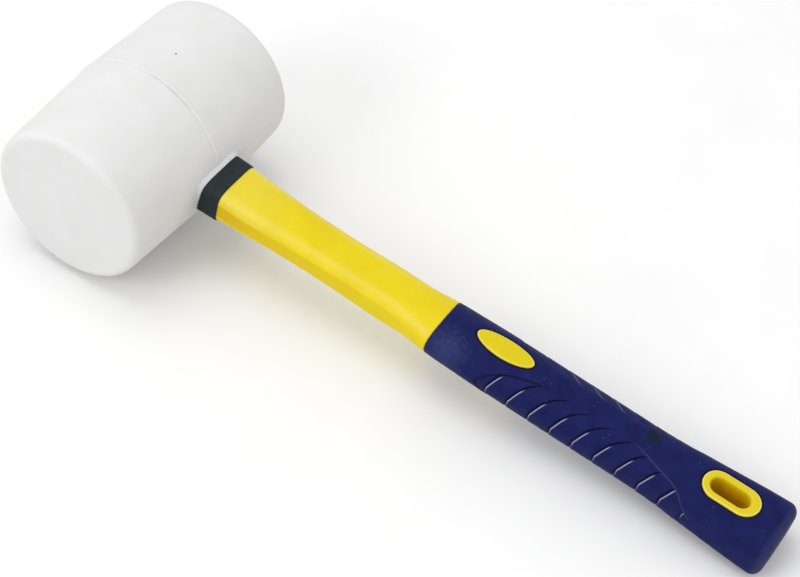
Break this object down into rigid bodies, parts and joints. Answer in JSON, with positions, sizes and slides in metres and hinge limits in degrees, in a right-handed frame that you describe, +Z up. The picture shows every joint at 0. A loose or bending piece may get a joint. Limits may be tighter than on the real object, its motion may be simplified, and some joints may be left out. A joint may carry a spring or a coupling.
{
  "type": "rubber mallet",
  "caption": "Mallet with a barrel-shaped white rubber head, a plastic-jacketed glass-fibre handle and a soft ribbed grip with a hanging slot.",
  "frame": {"origin": "middle of the object's box, at the level of the surface that the mallet lies on", "axes": "+X along the handle from the head to the butt, +Y along the head, +Z up; the mallet lies on the belly of its head and on the lower edge of its butt, so the handle slopes down 5.1 degrees towards the butt"},
  "size_m": [0.3627, 0.111, 0.08],
  "materials": {
    "white_rubber": "matt, as moulded",
    "black_plastic": "fine matt texture",
    "cured_resin": "cast, glossy",
    "glass_fibre": "pultruded, lengthwise fibres",
    "yellow_plastic": "satin",
    "navy_soft_plastic": "soft satin",
    "yellow_trim": "satin"
  },
  "bodies": {
    "root": {"head": "white_rubber", "collar": "black_plastic", "eye_resin_plug": "cured_resin", "core_rod": "glass_fibre", "handle_jacket": "yellow_plastic", "grip": "navy_soft_plastic", "thumb_inlay_front": "yellow_trim", "thumb_inlay_back": "yellow_trim", "hang_hole_liner": "yellow_trim"}
  },
  "joints": []
}
